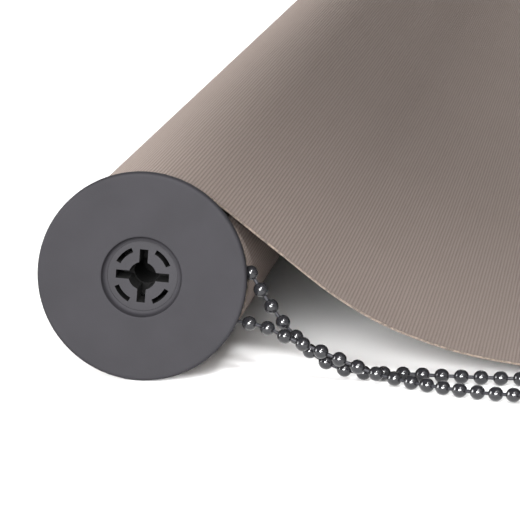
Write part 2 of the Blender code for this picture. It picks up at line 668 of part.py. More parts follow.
# The strand from the bottom of the wheel, as far as the connector.
LOWER_STRAND = [
    (0.8, 7.1, 17.7), (9.0, 7.1, 17.8), (18.0, 7.1, 18.0), (25.0, 7.0, 18.1), (31.5, 6.0, 17.5),
    (37.6, 4.4, 16.4), (43.5, 2.7, 14.2), (49.0, 2.3, 12.0), (54.7, 1.7, 9.9), (60.1, 1.3, 7.8),
    (65.5, 1.0, 5.7), (70.9, 0.4, 3.9), (76.9, -1.4, 2.8), (82.8, -4.6, 2.3), (88.8, -8.8, 2.3),
    (95.0, -12.8, 2.3), (101.0, -15.8, 2.3), (107.2, -18.5, 2.4), (113.6, -21.6, 2.8), (119.0, -25.8, 3.2),
]
# The short stretch between the connector and the coil's upper layer.
CHAIN_TAIL = [(128.8, -36.1, 3.4), (133.0, -40.0, 4.6), (136.8, -43.1, 6.0)]


def in_metres(points):
    return [tuple(mm(value) for value in point) for point in points]


def chain_strand(name, route, per_span, ground, beads):
    points = smooth_through(in_metres(route), per_span)
    return make_tube(name, points, BEAD_RADIUS, beads, ground)


def chain_connector(ground, beads):
    """The clip that joins the loop's two ends, between the lower strand and the tail."""
    start, end = (Vector(p) for p in in_metres([LOWER_STRAND[-1], CHAIN_TAIL[0]]))
    along = (end - start).normalized()
    length = (end - start).length - 2 * CONNECTOR_GAP
    eased = CONNECTOR_RADIUS - CONNECTOR_EDGE
    profile = [(0, 0), (eased, 0), (CONNECTOR_RADIUS, CONNECTOR_EDGE),
               (CONNECTOR_RADIUS, length - CONNECTOR_EDGE), (eased, length), (0, length)]
    clip = make_object("chain_connector", turned(profile, even_angles(24)), beads, ground,
                       origin=start + along * CONNECTOR_GAP)
    clip.rotation_mode = "QUATERNION"
    clip.rotation_quaternion = Vector((0, 1, 0)).rotation_difference(along)
    return clip


def chain_coil(ground, beads):
    """The outer shape of the rest of the loop, wound flat in two layers."""
    inner, outer = COIL_MIDDLE_RADIUS - COIL_HALF_WIDTH, COIL_MIDDLE_RADIUS + COIL_HALF_WIDTH
    height = COIL_LAYERS * BEAD_DIAMETER
    profile = [(inner, 0), (outer - COIL_EDGE, 0), (outer, COIL_EDGE), (outer, height - COIL_EDGE),
               (outer - COIL_EDGE, height), (inner, height)]
    coil = make_object("chain_coil", turned(profile, even_angles(48)), beads, ground,
                       origin=(*COIL_CENTRE, COIL_LIFT))
    coil.rotation_euler = (math.pi / 2, 0, 0)
    return coil


def chain_tie(ground, tape):
    """A flat tie round one side of the coil."""
    near = COIL_CENTRE[0] + COIL_MIDDLE_RADIUS - COIL_HALF_WIDTH - TIE_INNER_CLEARANCE
    far = COIL_CENTRE[0] + COIL_MIDDLE_RADIUS + COIL_HALF_WIDTH + GAP
    top = COIL_LIFT + COIL_LAYERS * BEAD_DIAMETER + GAP

    def box(x0, x1, z0, z1, width):
        outline = [(x0, z0), (x1, z0), (x1, z1), (x0, z1)]
        y = COIL_CENTRE[1]
        return lofted([(outline, y - width / 2), (outline, y + width / 2)])

    t = TIE_THICKNESS
    tie = make_object("chain_tie", box(near - t, far + t, 0, top + t, TIE_WIDTH), tape, ground)
    inside = make_object("tie_cutter", box(near, far, t, top, 2 * TIE_WIDTH), tape, ground)
    cut_with(tie, inside)
    return tie


def wrapped_chain(axis, beads):
    """The chain where it lies in the wheel's groove."""
    start, end = WRAP_ARC
    steps = 22
    points = []
    for i in range(steps + 1):
        a = start + (end - start) * i / steps
        points.append((PITCH_RADIUS * math.cos(a), CHAIN_PLANE, PITCH_RADIUS * math.sin(a)))
    return make_tube("chain_wrap", points, BEAD_RADIUS, beads, axis)


def main():
    clear_scene()
    plastic = make_material("control_plastic", "#5a5a60", 0.45)
    chain_plastic = make_material("chain_plastic", "#47474c", 0.25)
    aluminium = make_material("aluminium", "#c9cacb", 0.35, metallic=1.0)
    steel = make_material("spring_steel", "#9fa0a2", 0.3, metallic=1.0)
    nylon = make_material("bearing_nylon", "#d9d7d0", 0.5)
    tape = make_material("strip_plastic", "#e4e2dd", 0.5)
    fabric = make_material("blind_fabric", "#8f8279", 0.9)
    axis = make_empty("roll_axis", (AXIS_X, FACE_Y, DISC_RADIUS))
    ground = make_empty("resting_plane", (AXIS_X, FACE_Y, 0))

    control_flange(axis, plastic)
    control_hub(axis, plastic)
    chain_guard(axis, plastic)
    chain_wheel(axis, plastic)
    clutch_spring(1, axis, steel)
    clutch_spring(2, axis, steel)
    spindle_clip(axis, steel)
    tube_adapter(axis, plastic)
    roller_tube(axis, aluminium)
    fabric_strip(axis, tape)
    fabric_roll(axis, fabric)
    idle_plug(axis, plastic)
    idle_flange(axis, plastic)
    idle_bush(axis, nylon)
    idle_pin(axis, steel)
    idle_spring(axis, steel)
    fabric_turn(ground, fabric)
    fabric_fall(ground, fabric)
    fabric_flat(ground, fabric)
    bottom_rail(ground, aluminium)
    rail_strip(ground, tape)
    rail_cap("rail_cap_control", FABRIC_START, -1, ground, plastic)
    rail_cap("rail_cap_idle", FABRIC_END, 1, ground, plastic)
    wrapped_chain(axis, chain_plastic)
    chain_strand("chain_upper", UPPER_STRAND, 2, ground, chain_plastic)
    chain_strand("chain_lower", LOWER_STRAND, 2, ground, chain_plastic)
    chain_strand("chain_tail", CHAIN_TAIL, 3, ground, chain_plastic)
    chain_connector(ground, chain_plastic)
    chain_coil(ground, chain_plastic)
    chain_tie(ground, tape)


main()
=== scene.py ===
# %% [markdown]
# # Roller blind on a pale surface
# The blind lies on its end discs with a short stretch of ribbed fabric pulled off the roll. Lengths
# written here are millimetres in the blind's own directions: x from the roll's axis towards the way the
# fabric leaves, y from the control end's face along the roll, z up from the surface. `blind()` turns them
# into the frame's metres.

import math

import bmesh
import bpy
import numpy as np
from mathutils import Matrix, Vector, noise


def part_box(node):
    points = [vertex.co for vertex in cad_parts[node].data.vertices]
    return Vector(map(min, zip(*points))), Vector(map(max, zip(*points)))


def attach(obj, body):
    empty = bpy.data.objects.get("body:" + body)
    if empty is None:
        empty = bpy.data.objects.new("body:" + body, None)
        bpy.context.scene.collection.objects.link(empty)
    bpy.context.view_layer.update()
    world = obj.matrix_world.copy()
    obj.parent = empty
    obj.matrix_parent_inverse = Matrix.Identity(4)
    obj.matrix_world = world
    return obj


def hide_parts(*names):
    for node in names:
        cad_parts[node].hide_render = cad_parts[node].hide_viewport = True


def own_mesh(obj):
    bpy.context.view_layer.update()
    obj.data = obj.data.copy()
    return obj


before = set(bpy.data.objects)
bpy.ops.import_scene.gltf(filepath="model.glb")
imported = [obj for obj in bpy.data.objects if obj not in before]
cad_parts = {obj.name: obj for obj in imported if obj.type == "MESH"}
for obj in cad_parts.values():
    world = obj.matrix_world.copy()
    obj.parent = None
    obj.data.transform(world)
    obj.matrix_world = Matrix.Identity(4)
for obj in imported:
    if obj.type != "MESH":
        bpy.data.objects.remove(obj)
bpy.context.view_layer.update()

# %% [markdown]
# The control end's disc gives the two numbers that tie the blind's millimetres to the frame: the axis
# and the face.

# %% Places in the frame
disc_low, disc_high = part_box("control_flange")
MM = 0.001
AXIS_X = (disc_low.x + disc_high.x) / 2
FACE_Y = disc_low.y
DISC_RADIUS = (disc_high.z - disc_low.z) / 2 / MM


def blind(x, y, z):
    """A place in frame metres from the blind's own millimetres."""
    return Vector((AXIS_X + x * MM, FACE_Y + y * MM, z * MM))


print(f"axis at x = {AXIS_X:.4f} m, face at y = {FACE_Y:.4f} m, disc radius {DISC_RADIUS:.2f} mm")

# %% [markdown]
# A long lens looks a little down on the control end, past it and along the roll.

# %% Camera
CAMERA_PLACE = (150.7, -1029.4, 214.1)
CAMERA_DOWN = 9.65
CAMERA_LEFT = 6.35
LENS = 241.6
SENSOR_WIDTH = 36

camera = bpy.data.objects.new("camera", bpy.data.cameras.new("camera"))
camera.data.sensor_width = SENSOR_WIDTH
camera.data.lens = LENS
camera.data.clip_start = 0.05
camera.data.clip_end = 50
camera.location = blind(*CAMERA_PLACE)
camera.rotation_euler = (math.radians(90 - CAMERA_DOWN), 0, math.radians(CAMERA_LEFT))
bpy.context.collection.objects.link(camera)
bpy.context.scene.camera = camera
print("camera at", [round(v, 3) for v in camera.location])

# %% [markdown]
# ## Helpers
# Every mesh is made from plain lists of corners and faces. `solid_of_revolution` turns a profile about the
# roll's axis, and `catmull` reads a smooth curve through given points.

# %% Mesh helpers
def new_piece(name, verts, faces, material, smooth_angle=35):
    """A mesh object in frame coordinates, with its corners given in frame metres."""
    mesh = bpy.data.meshes.new(name)
    mesh.from_pydata([tuple(v) for v in verts], [], faces)
    mesh.validate()
    mesh.materials.append(material)
    mesh.shade_smooth()
    mesh.set_sharp_from_angle(angle=math.radians(smooth_angle))
    obj = bpy.data.objects.new(name, mesh)
    bpy.context.collection.objects.link(obj)
    return obj


def solid_of_revolution(name, profile, material, steps=192, smooth_angle=30):
    """Turns a closed profile of (radius, y) points, in mm, about the roll's axis."""
    verts, faces = [], []
    for r, y in profile:
        for i in range(steps):
            a = 2 * math.pi * i / steps
            verts.append(blind(r * math.cos(a), y, DISC_RADIUS + r * math.sin(a)))
    count = len(profile)
    for k in range(count):
        for i in range(steps):
            a, b = k * steps + i, k * steps + (i + 1) % steps
            c, d = ((k + 1) % count) * steps + (i + 1) % steps, ((k + 1) % count) * steps + i
            faces.append((a, b, c, d))
    obj = new_piece(name, verts, faces, material, smooth_angle)
    face_outwards(obj)
    return obj


SAME_PLACE = 1e-7


def face_outwards(obj):
    """Joins corners at one place and turns every face outwards."""
    bm = bmesh.new()
    bm.from_mesh(obj.data)
    bmesh.ops.remove_doubles(bm, verts=bm.verts, dist=SAME_PLACE)
    bmesh.ops.recalc_face_normals(bm, faces=bm.faces)
    bm.to_mesh(obj.data)
    bm.free()


def catmull(points, per_span=12):
    """Points along a smooth curve through the given ones, as an array."""
    p = np.array(points, float)
    p = np.vstack([2 * p[0] - p[1], p, 2 * p[-1] - p[-2]])
    out = []
    for a, b, c, d in zip(p, p[1:], p[2:], p[3:]):
        for i in range(per_span):
            t = i / per_span
            out.append(0.5 * (2 * b + (c - a) * t + (2 * a - 5 * b + 4 * c - d) * t ** 2
                              + (3 * b - a - 3 * c + d) * t ** 3))
    out.append(p[-2])
    return np.array(out)


def arc_lengths(points):
    """The distance along a polyline at each of its points."""
    steps = np.linalg.norm(np.diff(points, axis=0), axis=1)
    return np.concatenate([[0.0], np.cumsum(steps)])


def at_lengths(points, where):
    """Points on a polyline at the given distances along it."""
    along = arc_lengths(points)
    return np.stack([np.interp(where, along, points[:, k]) for k in range(points.shape[1])], axis=1)


HASH_INDEX = 127.1
HASH_SEED = 311.7
HASH_SCALE = 43758.5453


def jitter(index, seed=0):
    """A repeatable value from -1 to 1 for a whole number."""
    value = math.sin(index * HASH_INDEX + seed * HASH_SEED) * HASH_SCALE
    return 2 * (value - math.floor(value)) - 1


# %% [markdown]
# ## Materials
# `add` makes one shader node: its keyword settings are the node's own, and each input is a value or
# another node's output, which it links. Colours are sRGB hex, made linear by one function.

# %% Material helpers
def linear(channel):
    """One sRGB channel made linear."""
    return channel / 12.92 if channel <= 0.04045 else ((channel + 0.055) / 1.055) ** 2.4


def colour(text):
    """A linear colour from sRGB hex."""
    return (*[linear(int(text[i:i + 2], 16) / 255) for i in (1, 3, 5)], 1.0)


def shade(base, share):
    """A hex colour made darker or lighter by a share."""
    return (*[share * c for c in colour(base)[:3]], 1.0)


def add(tree, kind, inputs=None, **settings):
    node = tree.nodes.new(kind)
    for key, value in settings.items():
        setattr(node, key, value)
    for key, value in (inputs or {}).items():
        if isinstance(value, bpy.types.NodeSocket):
            tree.links.new(value, node.inputs[key])
        else:
            node.inputs[key].default_value = value
    return node


def maths(tree, operation, a, b=0.0):
    return add(tree, "ShaderNodeMath", {0: a, 1: b}, operation=operation).outputs[0]


MIX_FACTOR, MIX_A, MIX_B, MIX_RESULT = 0, 6, 7, 2


def mix_colours(tree, factor, a, b):
    node = add(tree, "ShaderNodeMix", {MIX_FACTOR: factor, MIX_A: a, MIX_B: b}, data_type="RGBA")
    return node.outputs[MIX_RESULT]


def spread_over(tree, factor, low, high):
    """A 0 to 1 value spread over a range."""
    node = add(tree, "ShaderNodeMapRange", {"Value": factor, "To Min": low, "To Max": high})
    return node.outputs[0]


def start_material(name):
    """A new material with only its shader: (material, node tree, shader)."""
    material = bpy.data.materials.new(name)
    material.use_nodes = True
    tree = material.node_tree
    tree.nodes.clear()
    shader = tree.nodes.new("ShaderNodeBsdfPrincipled")
    output = tree.nodes.new("ShaderNodeOutputMaterial")
    tree.links.new(shader.outputs[0], output.inputs[0])
    return material, tree, shader


def set_inputs(tree, shader, **values):
    """Sets or links the shader's inputs by name, with _ for each space."""
    for key, value in values.items():
        socket = shader.inputs[key.replace("_", " ")]
        if isinstance(value, bpy.types.NodeSocket):
            tree.links.new(value, socket)
        else:
            socket.default_value = value


def grain(tree, per_mm, detail=2.0, vector=None):
    """Noise with about that many blobs in a millimetre, in the frame's own coordinates."""
    if vector is None:
        vector = add(tree, "ShaderNodeTexCoord").outputs["Object"]
    node = add(tree, "ShaderNodeTexNoise", {"Vector": vector, "Scale": per_mm / MM, "Detail": detail})
    return node.outputs["Fac"]


def ramp(tree, factor, stops):
    """A ramp of greys from (position, value) stops."""
    node = add(tree, "ShaderNodeValToRGB", {"Fac": factor})
    while len(node.color_ramp.elements) > 1:
        node.color_ramp.elements.remove(node.color_ramp.elements[0])
    for i, (position, value) in enumerate(stops):
        element = node.color_ramp.elements[0] if i == 0 else node.color_ramp.elements.new(position)
        element.position = position
        element.color = (value, value, value, 1)
    return node.outputs["Color"]


def bump(tree, height, strength, distance_mm):
    distance = distance_mm * MM
    node = add(tree, "ShaderNodeBump", {"Height": height, "Strength": strength, "Distance": distance})
    return node.outputs["Normal"]


# %% [markdown]
# ** Moulded plastic**: cool dark grey and matt, with the fine spark-eroded grain of the mould and a faint
# mottling. The inner parts get a blacker plastic as painted shade, because little light reaches them.

# %% Moulded plastics
GRAIN_PER_MM = 2.4
MOTTLE_PER_MM = 0.07
GRAIN_DEPTH = 0.05
MOTTLE_DARK, MOTTLE_LIGHT = 0.90, 1.12
MOTTLE_STOPS = [(0.35, 0.0), (0.65, 1.0)]
SPECK_STOPS = [(0.42, 0.0), (0.6, 0.6)]


def moulded_plastic(name, base, roughness, grain_strength=0.5):
    """Matt plastic from a spark-eroded mould."""
    material, tree, shader = start_material(name)
    fine = grain(tree, GRAIN_PER_MM, 4.0)
    broad = grain(tree, MOTTLE_PER_MM, 3.0)
    darker, lighter = shade(base, MOTTLE_DARK), shade(base, MOTTLE_LIGHT)
    tint = mix_colours(tree, ramp(tree, broad, MOTTLE_STOPS), darker, lighter)
    speck = mix_colours(tree, ramp(tree, fine, SPECK_STOPS), tint, lighter)
    uneven = spread_over(tree, fine, roughness - 0.06, roughness + 0.08)
    set_inputs(tree, shader, Base_Color=speck, Roughness=uneven, IOR=1.5, Specular_IOR_Level=0.16,
               Normal=bump(tree, fine, grain_strength, GRAIN_DEPTH))
    return material


control_plastic = moulded_plastic("grained_plastic", "#1b1a1d", 0.7)
socket_plastic = moulded_plastic("smooth_plastic", "#1b1a1d", 0.6, grain_strength=0.2)
painted_shade_plastic = moulded_plastic("shaded_plastic", "#070707", 0.9)
print("plastics:", control_plastic.name, socket_plastic.name, painted_shade_plastic.name)

# %% [markdown]
# **Bead chain**: nearly black glossy plastic. The moulded balls have a smooth skin with very slight
# unevenness, and the thin link between them is duller.

# %% Bead plastic
SKIN_PER_MM = 0.5
SKIN_DEPTH = 0.1


def bead_plastic():
    """Glossy dark plastic with a slightly uneven skin."""
    material, tree, shader = start_material("bead_plastic")
    soft = grain(tree, SKIN_PER_MM, 2.0)
    base = mix_colours(tree, soft, colour("#131315"), colour("#1b1b1d"))
    uneven = spread_over(tree, soft, 0.07, 0.14)
    set_inputs(tree, shader, Base_Color=base, Roughness=uneven, IOR=1.5,
               Normal=bump(tree, soft, 0.08, SKIN_DEPTH))
    return material


bead_material = bead_plastic()
link_material = moulded_plastic("link_plastic", "#222225", 0.5)

# %% [markdown]
# **Blind fabric**: a warp rib. Round ribs run along the roll every 1.06 mm, and finer threads cross them,
# over one rib and under the next. The UV map holds millimetres, across the ribs in u and along them in v,
# so the weave keeps its size wherever the cloth bends. Yarns vary a little in thickness and tone.

# %% Blind fabric
RIB_PITCH = 1.06
THREAD_PITCH = 0.48
RIB_WANDER = 0.25
RIB_SHARE, THREAD_SHARE = 0.75, 0.25
RIB_ROUNDNESS = 0.7
YARN_PER_MM = 3.0
YARN_SHARE = 0.35
WEAVE_DEPTH = 0.16


def uv_noise(tree, uv, scale, detail, stretch=None):
    """Noise over the cloth. stretch squeezes it by a share across and along the ribs."""
    if stretch:
        uv = add(tree, "ShaderNodeMapping", {"Vector": uv, "Scale": (*stretch, 1.0)}).outputs[0]
    node = add(tree, "ShaderNodeTexNoise", {"Vector": uv, "Scale": scale, "Detail": detail})
    return node.outputs["Fac"]


def wave(tree, turns):
    """A rounded wave from 0 to 1 that peaks at every whole number."""
    cosine = maths(tree, "COSINE", maths(tree, "MULTIPLY", turns, 2 * math.pi))
    return maths(tree, "ADD", maths(tree, "MULTIPLY", cosine, 0.5), 0.5)


def weave_height(tree, uv):
    """How far the yarns stand out of the cloth, from 0 to 1."""
    split = add(tree, "ShaderNodeSeparateXYZ", {0: uv})
    u, v = split.outputs[0], split.outputs[1]
    wander = maths(tree, "SUBTRACT", uv_noise(tree, uv, 0.35, 2.0, stretch=(0.9, 0.045)), 0.5)
    offset = maths(tree, "MULTIPLY", wander, RIB_WANDER)
    phase = maths(tree, "ADD", maths(tree, "DIVIDE", u, RIB_PITCH), offset)
    alternate = maths(tree, "MULTIPLY", maths(tree, "FLOOR", maths(tree, "ADD", phase, 0.5)), 0.5)
    across = maths(tree, "ADD", maths(tree, "DIVIDE", v, THREAD_PITCH), alternate)
    rib = maths(tree, "POWER", wave(tree, phase), RIB_ROUNDNESS)
    thread = wave(tree, across)
    return maths(tree, "ADD", maths(tree, "MULTIPLY", rib, RIB_SHARE),
                 maths(tree, "MULTIPLY", thread, THREAD_SHARE))


def blind_fabric(name):
    """Taupe ribbed cloth, with painted shade making it darker between its ribs."""
    material, tree, shader = start_material(name)
    uv = add(tree, "ShaderNodeUVMap", uv_map="millimetres").outputs[0]
    height = weave_height(tree, uv)
    yarn = maths(tree, "MULTIPLY", uv_noise(tree, uv, YARN_PER_MM, 3.0), YARN_SHARE)
    slubs = ramp(tree, uv_noise(tree, uv, 1.0, 2.0, stretch=(0.94, 0.02)), [(0.3, 0.0), (0.7, 0.12)])
    broad = ramp(tree, uv_noise(tree, uv, 0.02, 3.0), [(0.35, 0.0), (0.65, 0.10)])
    # The valleys between the ribs are darker as painted shade, following the weave's height.
    painted_valley_shade, crown = colour("#463c37"), colour("#726762")
    tint = mix_colours(tree, maths(tree, "POWER", height, 0.8), painted_valley_shade, crown)
    tint = mix_colours(tree, yarn, tint, colour("#776b64"))
    tint = mix_colours(tree, slubs, tint, colour("#625651"))
    tint = mix_colours(tree, broad, tint, colour("#5d5249"))
    relief = maths(tree, "ADD", height, yarn)
    set_inputs(tree, shader, Base_Color=tint, Roughness=0.88, IOR=1.45, Specular_IOR_Level=0.15,
               Normal=bump(tree, relief, 0.9, WEAVE_DEPTH), Sheen_Weight=0.06, Sheen_Roughness=0.5)
    shader.inputs["Sheen Tint"].default_value = colour("#d8ccc2")
    return material


fabric_material = blind_fabric("ribbed_fabric")

# %% [markdown]
# **Cut yarn**: the uneven, frayed ends of the ribs along the fabric's cut sides. The metals and the small
# plastics are plain, with a fine unevenness of their own.

# %% Cut yarn, metals and the small plastics
def plain_finish(name, base, roughness, metallic=0.0, per_mm=2.0, relief=0.1, streak=None, contrast=0.86):
    """A surface with fine unevenness. streak squeezes the grain along y, as drawn or extruded metal has."""
    material, tree, shader = start_material(name)
    place = add(tree, "ShaderNodeTexCoord").outputs["Object"]
    if streak:
        place = add(tree, "ShaderNodeMapping", {"Vector": place, "Scale": (1.0, streak, 1.0)}).outputs[0]
    fine = grain(tree, per_mm, 3.0, place)
    tint = mix_colours(tree, ramp(tree, fine, MOTTLE_STOPS), shade(base, contrast), colour(base))
    uneven = spread_over(tree, fine, roughness * 0.8, roughness * 1.25)
    set_inputs(tree, shader, Base_Color=tint, Roughness=uneven, Metallic=metallic,
               Normal=bump(tree, fine, relief, GRAIN_DEPTH))
    return material


cut_yarn = plain_finish("cut_yarn", "#62574e", 0.95, per_mm=1.1, relief=0.3, contrast=0.3)
aluminium = plain_finish("satin_aluminium", "#c4c6c9", 0.34, 1.0, per_mm=4.0, relief=0.12, streak=0.01)
steel = plain_finish("bright_spring_steel", "#a9abae", 0.26, 1.0, per_mm=3.0, relief=0.05)
nylon = plain_finish("white_nylon", "#dcdad2", 0.42, per_mm=3.0, relief=0.08)
strip_plastic = plain_finish("white_strip", "#e6e4de", 0.5, per_mm=3.0, relief=0.06)
print("materials made:", len(bpy.data.materials))

# %% [markdown]
# ## Bead chain
# The chain is one loop. Its route repeats the design's: the strand off the top of the wheel droops behind
# the disc to the surface, the rest is wound flat in two layers outside the view, and the strand back to
# the wheel's foot passes the connector.

# %% Chain route
BEAD_DIAMETER = 4.5
BEAD_PITCH = 6.0
UPPER_STRAND = [
    (3.6, 7.1, 45.9), (10.0, 7.1, 44.6), (17.0, 7.1, 42.6), (24.0, 7.1, 39.7), (29.0, 7.1, 36.5),
    (32.4, 7.1, 33.0), (35.4, 7.1, 27.9), (38.7, 7.1, 22.7), (42.4, 7.1, 17.7), (46.7, 7.2, 12.9),
    (51.0, 7.3, 8.6), (56.0, 7.5, 5.3), (61.8, 7.7, 3.2), (67.7, 8.0, 2.4), (75.0, 8.6, 2.3),
    (81.5, 8.2, 2.3), (88.0, 7.0, 2.3), (94.0, 6.4, 2.3), (103.0, 5.4, 2.3), (112.0, 4.9, 2.3),
    (124.0, 4.8, 2.3), (136.0, 5.0, 2.4), (147.0, 5.0, 2.6), (156.5, 4.7, 2.9),
]
LOWER_STRAND = [
    (0.8, 7.1, 17.7), (9.0, 7.1, 17.8), (18.0, 7.1, 18.0), (25.0, 7.0, 18.1), (31.5, 6.0, 17.5),
    (37.6, 4.4, 16.4), (43.5, 2.7, 14.2), (49.0, 2.3, 12.0), (54.7, 1.7, 9.9), (60.1, 1.3, 7.8),
    (65.5, 1.0, 5.7), (70.9, 0.4, 3.9), (76.9, -1.4, 2.8), (82.8, -4.6, 2.3), (88.8, -8.8, 2.3),
    (95.0, -12.8, 2.3), (101.0, -15.8, 2.3), (107.2, -18.5, 2.4), (113.6, -21.6, 2.8), (119.0, -25.8, 3.2),
]
INTO_COIL = [(164.5, 3.9, 3.2)]
CHAIN_TAIL = [(128.8, -36.1, 3.4), (133.0, -40.0, 4.6), (136.8, -43.1, 6.0)]
CHAIN_STEP = 0.8
COIL_CENTRE = (172.0, -30.0)
COIL_OUTER, COIL_SPACING = 32.3, 4.6
COIL_LOW, COIL_HIGH = 3.4, 7.9
COIL_START, COIL_SWEEP, COIL_STEP = 90.0, 2035.0, 12
COIL_CLIMB = 90


def coil_turns():
    """Clockwise from the coil's back: inwards on the surface, then outwards on top, to its near left."""
    steps = int(COIL_SWEEP / COIL_STEP)
    turns_each_way = COIL_SWEEP / 2 / 360
    points = []
    for i in range(1, steps + 1):
        turned = COIL_SWEEP * i / steps
        a = math.radians(COIL_START - turned)
        past_middle = turned - COIL_SWEEP / 2
        radius = COIL_OUTER - COIL_SPACING * (turns_each_way - abs(past_middle) / 360)
        rise = min(1.0, max(0.0, past_middle / COIL_CLIMB + 0.5))
        z = COIL_LOW + (COIL_HIGH - COIL_LOW) * rise * rise * (3 - 2 * rise)
        points.append((COIL_CENTRE[0] + radius * math.cos(a), COIL_CENTRE[1] + radius * math.sin(a), z))
    return points


route = UPPER_STRAND + INTO_COIL + coil_turns() + CHAIN_TAIL[::-1] + LOWER_STRAND[::-1]
smooth_route = catmull(route)
chain_line = at_lengths(smooth_route, np.arange(0, arc_lengths(smooth_route)[-1], CHAIN_STEP))
chain_length = arc_lengths(chain_line)[-1]
print(f"chain loop: {chain_length:.0f} mm outside the wheel")

# %% [markdown]
# Each ball sits on the thin link at 6 mm spacing. The two visible strands are counted from their own ends
# at the wheel, and the few millimetres left over are shared out in the coil.

# %% Beads and link
UPPER_FIRST, LOWER_FIRST = 2.5, 1.6
COUNTED_STRETCH = 260.0
LINK_RADIUS = 0.55
BEAD_STRETCH = 1.03


def bead_places():
    """How far along the chain each ball sits."""
    front = np.arange(UPPER_FIRST, COUNTED_STRETCH, BEAD_PITCH)
    back = chain_length - np.arange(LOWER_FIRST, COUNTED_STRETCH, BEAD_PITCH)
    gap = back[-1] - front[-1]
    between = np.linspace(front[-1], back[-1], round(gap / BEAD_PITCH) + 1)[1:-1]
    return np.concatenate([front, between, back[::-1]])


def ball(centre, direction, radius, around=16, rings=9):
    """Corners and faces of a moulded ball, very slightly long in the chain's direction."""
    d = Vector(direction).normalized()
    side = d.orthogonal().normalized()
    up = d.cross(side)
    long_radius = radius * BEAD_STRETCH
    verts = [centre - d * long_radius]
    for k in range(1, rings):
        t = math.pi * k / rings
        for i in range(around):
            a = 2 * math.pi * i / around
            outwards = side * math.cos(a) + up * math.sin(a)
            verts.append(centre - d * long_radius * math.cos(t) + outwards * radius * math.sin(t))
    verts.append(centre + d * long_radius)
    last = len(verts) - 1
    faces = [(0, 1 + (i + 1) % around, 1 + i) for i in range(around)]
    for k in range(rings - 2):
        for i in range(around):
            a, b = 1 + k * around + i, 1 + k * around + (i + 1) % around
            faces.append((a, b, b + around, a + around))
    base = 1 + (rings - 2) * around
    faces += [(base + i, base + (i + 1) % around, last) for i in range(around)]
    return verts, faces


FIRST_UP = (0.13, 0.21, 0.97)


def tube_along(points, radius, around=8):
    """Corners and faces of a closed tube along frame points."""
    verts, faces = [], []
    up = Vector(FIRST_UP)
    for i, p in enumerate(points):
        d = (points[min(i + 1, len(points) - 1)] - points[max(i - 1, 0)]).normalized()
        side = d.cross(up).normalized()
        over = side.cross(d)
        up = over
        for k in range(around):
            a = 2 * math.pi * k / around
            verts.append(p + (side * math.cos(a) + over * math.sin(a)) * radius)
    for i in range(len(points) - 1):
        for k in range(around):
            a, b = i * around + k, i * around + (k + 1) % around
            faces.append((a, b, b + around, a + around))
    faces.append(tuple(range(around))[::-1])
    faces.append(tuple(range(len(verts) - around, len(verts))))
    return verts, faces


def paint_faces(obj, material, faces):
    """Gives a slice of an object's faces a second material."""
    obj.data.materials.append(material)
    for polygon in obj.data.polygons[faces]:
        polygon.material_index = 1


def chain_piece(name, line_mm, places):
    """The link along a line, with a ball at each place."""
    points = [blind(*p) for p in line_mm]
    verts, faces = tube_along(points[::2], LINK_RADIUS * MM)
    link_faces = len(faces)
    centres = at_lengths(line_mm, places)
    ahead = at_lengths(line_mm, places + CHAIN_STEP)
    behind = at_lengths(line_mm, places - CHAIN_STEP)
    for centre, a, b in zip(centres, ahead, behind):
        more_verts, more_faces = ball(blind(*centre), Vector(a - b), BEAD_DIAMETER / 2 * MM)
        base = len(verts)
        verts += more_verts
        faces += [tuple(base + i for i in f) for f in more_faces]
    obj = new_piece(name, verts, faces, bead_material, 60)
    paint_faces(obj, link_material, slice(0, link_faces))
    return obj


chain = chain_piece("bead_chain", chain_line, bead_places())
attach(chain, "control_unit")
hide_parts("chain_upper", "chain_lower", "chain_tail", "chain_coil")
print("beads on the loop:", len(bead_places()))

# %% [markdown]
# The stretch that lies in the wheel's groove continues both strands.

# %% Chain on the wheel
WHEEL_POCKETS = 15
PITCH_RADIUS = WHEEL_POCKETS * BEAD_PITCH / (2 * math.pi)
WRAP_START, WRAP_END, WRAP_STEPS = 77, 272, 40
GROOVE_Y = 7.1
WRAP_SPARE = 1.5


def wheel_line_points():
    """The chain's line round the wheel, from the upper strand to the lower one."""
    points = []
    for step in range(WRAP_STEPS + 1):
        a = math.radians(WRAP_START + (WRAP_END - WRAP_START) * step / WRAP_STEPS)
        points.append((PITCH_RADIUS * math.cos(a), GROOVE_Y, DISC_RADIUS + PITCH_RADIUS * math.sin(a)))
    return np.array(points)


wheel_line = wheel_line_points()
wheel_beads = np.arange(BEAD_PITCH - UPPER_FIRST, arc_lengths(wheel_line)[-1] - WRAP_SPARE, BEAD_PITCH)
wheel_chain = chain_piece("bead_chain_on_wheel", wheel_line, wheel_beads)
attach(wheel_chain, "control_unit")
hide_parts("chain_wrap")

# %% [markdown]
# The connector is a small barrel clip with rounded ends and a seam round its middle.

# %% Chain connector
CLIP_RADII = [
    (0.07, 1.3), (0.08, 2.2), (0.12, 2.8), (0.18, 3.1), (0.27, 3.2), (0.46, 3.2), (0.475, 2.95),
    (0.525, 2.95), (0.54, 3.2), (0.73, 3.2), (0.82, 3.1), (0.88, 2.8), (0.92, 2.2), (0.93, 1.3),
]


def barrel(name, start, end, radii, material, steps=32):
    """A turned piece between two points: radii are (share of the length, radius in mm)."""
    along = end - start
    d = along.normalized()
    side = d.orthogonal().normalized()
    up = d.cross(side)
    verts, faces = [], []
    for share, radius in radii:
        for i in range(steps):
            a = 2 * math.pi * i / steps
            verts.append(start + along * share + (side * math.cos(a) + up * math.sin(a)) * radius * MM)
    for k in range(len(radii) - 1):
        for i in range(steps):
            a, b = k * steps + i, k * steps + (i + 1) % steps
            faces.append((a, b, b + steps, a + steps))
    faces.append(tuple(range(steps)))
    faces.append(tuple(range(len(verts) - steps, len(verts))))
    obj = new_piece(name, verts, faces, material, 40)
    face_outwards(obj)
    return obj


